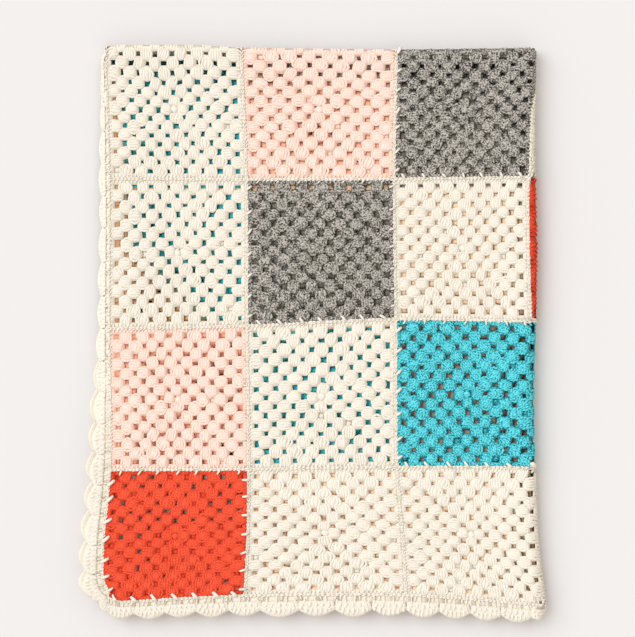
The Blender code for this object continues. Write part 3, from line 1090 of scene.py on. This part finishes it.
borderStock = stitchStock("borderStitch", [
    strokeShape(border["stitch"], 0.0015, 0.0011, 0.0012),
    padShape((0.0113, 0.0059, 0.0011)),
    shellShape(border["shellHalf"], border["shellFoot"], border["shellThick"]),
    strokeShape(border["fanStrand"], 0.0016, 0.0005, 0.0008, sides=5, tip=0.6),
])


def borderReach(run):
    # how far the border stands out, run in squares along the edge
    wave = np.abs(np.sin(math.pi * run * pile["scallopsPerSquare"])) ** 0.8
    return float(pile["valley"] + (pile["border"] - pile["valley"]) * wave)


def borderSides():
    # where each side starts, its direction, the way out and its length in squares
    wide = pile["columns"]
    tall = pile["lastRow"] - pile["firstRow"]
    top = -pile["firstRow"]
    bottom = -pile["lastRow"]
    return (
        ((0, bottom), (1, 0), (0, -1), wide),
        ((wide, bottom), (0, 1), (1, 0), tall),
        ((wide, top), (-1, 0), (0, 1), wide),
        ((0, top), (0, -1), (-1, 0), tall),
    )


def addStroke(plan, foot, tip, pick, length, lift, wide=1.0):
    # a strand of the stock, stretched from foot to tip
    span = tip - foot
    turn = math.atan2(-span[0], span[1])
    middle = (foot + tip) / 2
    addStitch(plan, (middle[0], middle[1], lift), turn, (wide, np.linalg.norm(span) / length, 1), pick)


def borderRows(plan, corner, along, out, span, rng):
    # two rows of short stitches over packed yarn
    b = border
    count = round(span / b["rowPitch"])
    for line, skip in b["rows"]:
        for k in range(count):
            if k % skip == skip - 1:
                continue
            middle = corner + along * span * (k + 0.5 + rng.normal(0, 0.1)) / count + out * line
            sway = along * rng.normal(*b["stitchSway"])
            half = out * b["stitchReach"]
            addStroke(plan, middle - half - sway, middle + half + sway, 0, b["stitch"], 0.0004)
    pads = round(span / b["padPitch"])
    for k in range(pads):
        place = corner + along * span * (k + 0.5) / pads + out * b["padReach"]
        addStitch(plan, (*place, -0.0002), math.atan2(along[1], along[0]), (1, 0.95, 1), 1)


def borderShell(plan, number, middle, along, out, rng):
    # one scallop and the strands that fan out on it
    b = border
    shell = pile["square"] / pile["scallopsPerSquare"]
    size = (1.0, rng.uniform(0.97, 1.05), rng.uniform(0.9, 1.1))
    addStitch(plan, (*middle, 0.0002), math.atan2(-out[0], out[1]), size, 2)
    for strands, start, end in b["fans"]:
        for k in range(strands):
            run = ((k + 0.5) / strands - 0.5) * shell * b["fanShare"]
            reach = end or borderReach((shell * (number + 0.5) + run) / pile["square"]) - b["rim"]
            foot = middle + along * run * (0.86 if end else 0.95) + out * start
            tip = middle + along * (run + rng.normal(0, 0.0010)) + out * (reach + rng.normal(0, 0.0006))
            addStroke(plan, foot, tip, 3, b["fanStrand"], rng.uniform(0.0010, 0.0017), rng.uniform(0.9, 1.3))


def borderCorner(plan, corner, along, out):
    # the fan that turns the corner
    b = border
    near, far = b["corner"]
    for k in range(b["cornerStrands"]):
        a = math.pi / 2 * (k + 0.5) / b["cornerStrands"]
        way = out * math.cos(a) - along * math.sin(a)
        addStroke(plan, corner + way * near, corner + way * far, 0, b["stitch"], 0.0005, 1.2)
    way = math.atan2(-(out - along)[0], (out - along)[1])
    addStitch(plan, (*corner, 0.0002), way, (0.66, 0.9, 1.0), 2)
    addStitch(plan, (*(corner + (out - along) * 0.004), 0.0), way, (0.7, 1.2, 1.0), 1)


def workBorder():
    s = pile["square"]
    rng = np.random.default_rng(31)
    plan = emptyPlan()
    shell = s / pile["scallopsPerSquare"]
    for corner, along, out, length in borderSides():
        corner = np.array(corner, float) * s
        along = np.array(along, float)
        out = np.array(out, float)
        borderRows(plan, corner, along, out, length * s, rng)
        for j in range(round(length * pile["scallopsPerSquare"])):
            borderShell(plan, j, corner + along * shell * (j + 0.5), along, out, rng)
        borderCorner(plan, corner, along, out)
    # packed yarn where the front edge turns over the right fold
    for column, row in border["foldCorner"]:
        addStitch(plan, (column * s, -row * s, 0.0), 0.0, (0.9, 1.0, 1.0), 1)
    mesh = workStitches("scallopedBorder", plan, borderStock, yarnMaterials["C"], border["unevenSize"], 9,
                        border["creaseShade"])
    piece = makePiece("scallopedBorder", mesh)
    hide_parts("scalloped_border")
    return piece


scallopedBorder = workBorder()
print("border worked", len(scallopedBorder.data.polygons))


# the room: a pale floor under soft light from the upper left
room = {
    "floor": (0.735, 0.715, 0.700),
    "floorSize": 12.0,
    "photoScale": 0.001354,
    "photoWide": 635,
    "lookAt": (0.0077, 0.0217, 0.020),
    "distance": 2.6,
    "sky": (1.0, 0.972, 0.930),
    "keyColour": (0.965, 1.0, 1.085),
    "skyStrength": 0.86,
    "key": 1.75,
    "keyAngle": 50.0,
    "keyTilt": (-20.0, -42.0),
}


def makeRoom():
    floorMesh = bpy.data.meshes.new("floor")
    half = room["floorSize"] / 2
    corners = [(-half, -half, 0), (half, -half, 0), (half, half, 0), (-half, half, 0)]
    floorMesh.from_pydata(corners, [], [(0, 1, 2, 3)])
    floor = bpy.data.objects.new("floor", floorMesh)
    bpy.context.collection.objects.link(floor)
    paint = bpy.data.materials.new("floorPaint")
    paint.use_nodes = True
    shader = paint.node_tree.nodes["Principled BSDF"]
    shader.inputs["Base Color"].default_value = (*room["floor"], 1)
    shader.inputs["Roughness"].default_value = 0.9
    floorMesh.materials.append(paint)

    world = bpy.data.worlds.new("room")
    bpy.context.scene.world = world
    world.use_nodes = True
    world.node_tree.nodes["Background"].inputs["Color"].default_value = (*room["sky"], 1)
    world.node_tree.nodes["Background"].inputs["Strength"].default_value = room["skyStrength"]

    key = bpy.data.lights.new("key", "SUN")
    key.energy = room["key"]
    key.color = room["keyColour"]
    key.angle = math.radians(room["keyAngle"])
    lamp = bpy.data.objects.new("key", key)
    bpy.context.collection.objects.link(lamp)
    lamp.rotation_euler = [math.radians(v) for v in (*room["keyTilt"], 0.0)]
    bpy.context.scene.view_settings.view_transform = "Standard"


def makeCamera():
    camera = bpy.data.cameras.new("camera")
    camera.sensor_fit = "HORIZONTAL"
    camera.sensor_width = 36
    width = room["photoWide"] * room["photoScale"]
    camera.lens = 36 * room["distance"] / width
    viewer = bpy.data.objects.new("camera", camera)
    bpy.context.collection.objects.link(viewer)
    x, y, z = room["lookAt"]
    viewer.location = (x, y, z + room["distance"])
    bpy.context.scene.camera = viewer


makeRoom()
makeCamera()
print("room and camera set")
